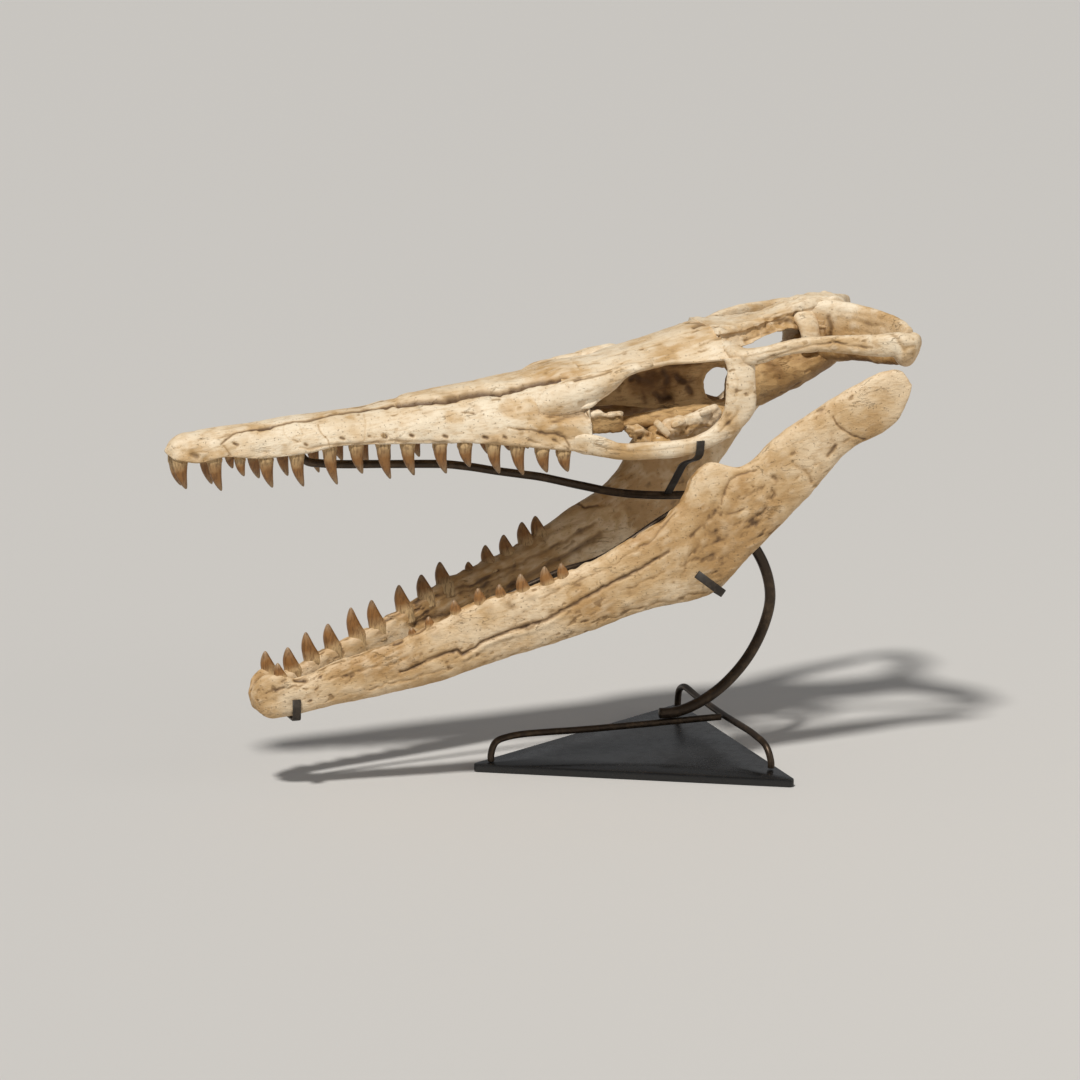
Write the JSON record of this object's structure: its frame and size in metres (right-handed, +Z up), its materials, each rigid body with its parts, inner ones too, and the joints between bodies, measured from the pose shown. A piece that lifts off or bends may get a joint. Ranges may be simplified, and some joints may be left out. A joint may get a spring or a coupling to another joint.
{
  "type": "fossil mosasaur skull on display mount",
  "caption": "Slender fossil marine reptile skull, long toothed snout over a lower jaw hanging open, held by bent rods on a flat triangular base.",
  "frame": {"origin": "centre of the triangular base's underside, at floor level", "axes": "-X towards the snout, -Y towards the animal's left side, +Z up; y = 0 is the skull's mid-plane"},
  "size_m": [0.5398, 0.2336, 0.3349],
  "materials": {
    "skull_bone": "pale cream fossil bone, dry and matt, with tan stain in pits and cracks",
    "jaw_bone": "cream to tan fossil bone, rough behind the tooth row",
    "base_plate": "satin black paint with worn edges",
    "bronze_rod": "dark bronze-brown painted steel rod",
    "dark_clip": "near-black painted steel strap"
  },
  "bodies": {
    "root": {"premaxilla": "skull_bone", "maxilla_left": "skull_bone", "maxilla_right": "skull_bone", "palate": "skull_bone", "frontal": "skull_bone", "prefrontal_left": "skull_bone", "prefrontal_right": "skull_bone", "parietal": "skull_bone", "braincase": "skull_bone", "postorbital_left": "skull_bone", "postorbital_right": "skull_bone", "squamosal_left": "skull_bone", "squamosal_right": "skull_bone", "jugal_left": "skull_bone", "jugal_right": "skull_bone", "pterygoid_left": "skull_bone", "pterygoid_right": "skull_bone", "orbital_wall": "skull_bone", "palatine_left": "skull_bone", "palatine_right": "skull_bone", "dentary_left": "jaw_bone", "dentary_right": "jaw_bone", "rear_jaw_left": "jaw_bone", "rear_jaw_right": "jaw_bone", "coronoid_left": "jaw_bone", "coronoid_right": "jaw_bone", "articular_left": "jaw_bone", "articular_right": "jaw_bone", "stand_base": "base_plate", "stand_long_rod": "bronze_rod", "stand_cross_rod": "bronze_rod", "stand_main_rod": "bronze_rod", "stand_upper_rod": "bronze_rod", "stand_jaw_rod": "bronze_rod", "stand_jaw_post": "bronze_rod", "stand_jaw_clip_front": "dark_clip", "stand_jaw_clip_rear": "dark_clip", "stand_cheek_clip": "dark_clip"}
  },
  "joints": []
}
